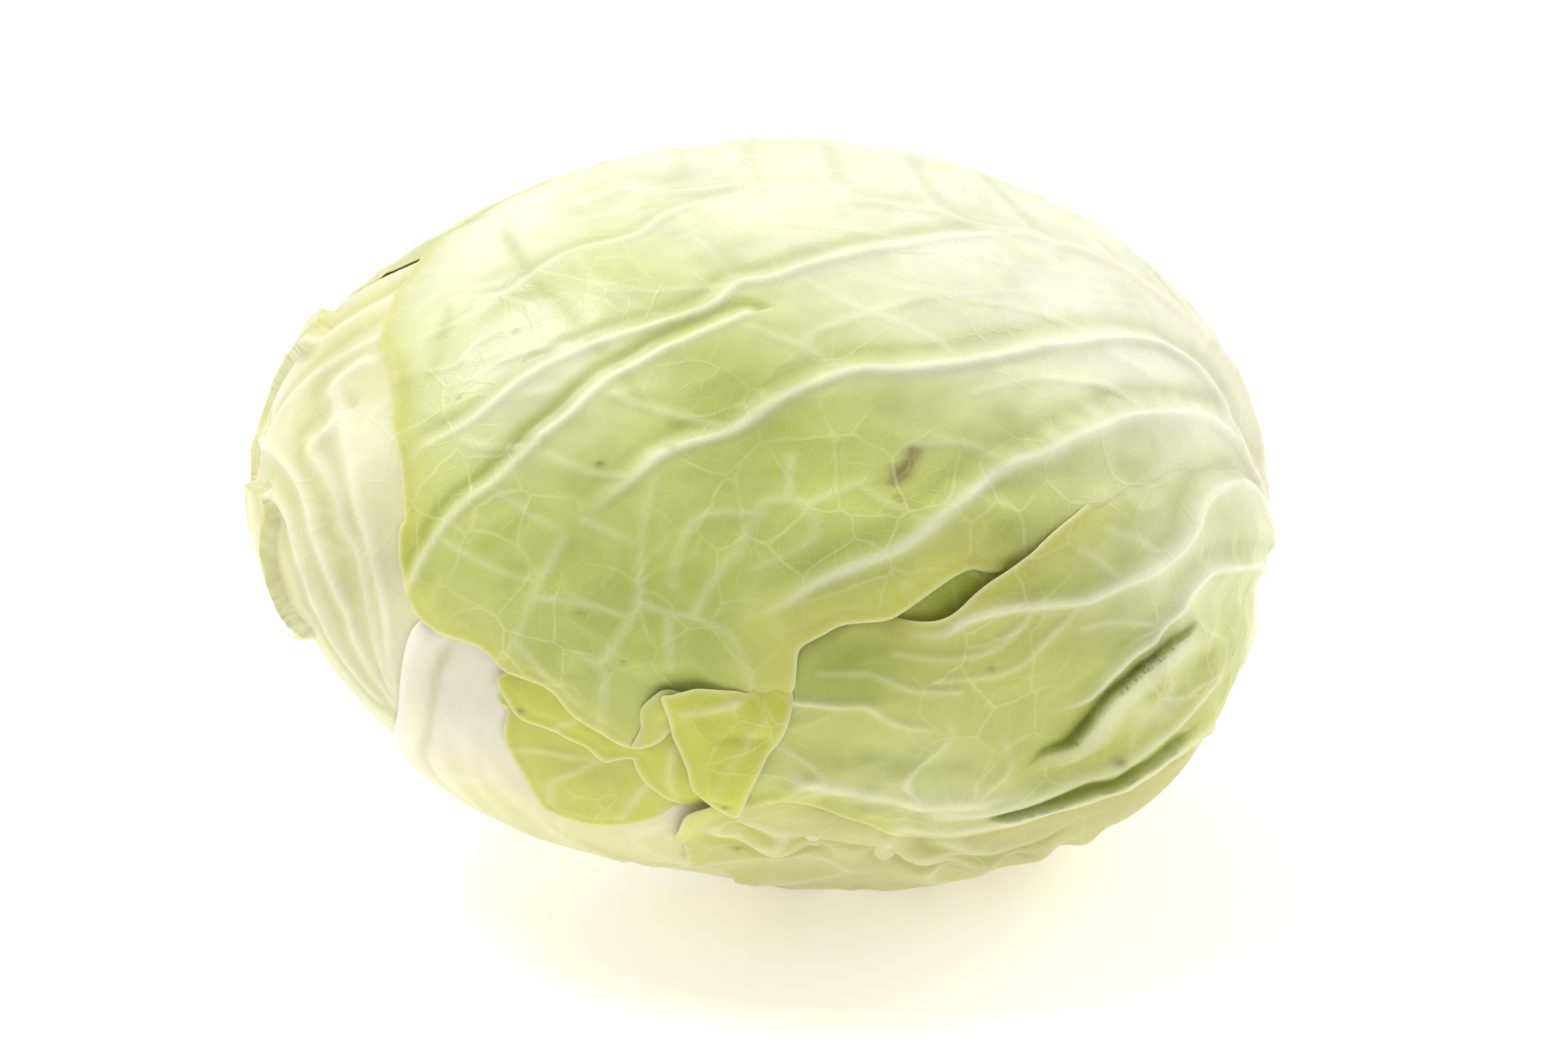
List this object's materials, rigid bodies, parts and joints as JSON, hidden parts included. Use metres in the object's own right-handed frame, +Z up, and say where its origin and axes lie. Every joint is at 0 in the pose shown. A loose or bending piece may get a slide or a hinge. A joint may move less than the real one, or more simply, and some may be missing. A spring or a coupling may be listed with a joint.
{
  "type": "cabbage head",
  "caption": "Pale green pointed-oval cabbage head lying on its side, with ribbed wrapper leaves, a torn folded front leaf and a cut stem; rests on a small flat spot.",
  "frame": {"origin": "middle of the head's box, at the height of the surface that it rests on", "axes": "+X along the head towards the cut stem, +Z up, -Y the front with the torn wrapper leaf"},
  "size_m": [0.2184, 0.1677, 0.1493],
  "materials": {
    "inner_leaves": "soft satin, packed pale leaves",
    "stem": "matte, cut and slightly dried",
    "pale_leaf": "waxy satin with raised pale veins",
    "crown_leaf": "waxy satin with raised white ribs",
    "cream_leaf": "smooth satin, creamy white",
    "margin_leaf": "waxy satin, yellow-green margin",
    "back_leaf": "waxy satin with raised pale veins",
    "under_leaf": "waxy satin, thin frilled margin",
    "front_leaf": "waxy satin, fine vein network, raised white ribs"
  },
  "bodies": {
    "root": {"inner_head": "inner_leaves", "stem_stump": "stem", "inner_back_leaf": "pale_leaf", "crown_leaf": "crown_leaf", "left_cup_leaf": "cream_leaf", "lower_inner_leaf": "margin_leaf", "upper_inner_leaf": "margin_leaf", "back_wrapper_leaf": "back_leaf", "under_leaf": "under_leaf", "front_wrapper_leaf": "front_leaf"}
  },
  "joints": []
}
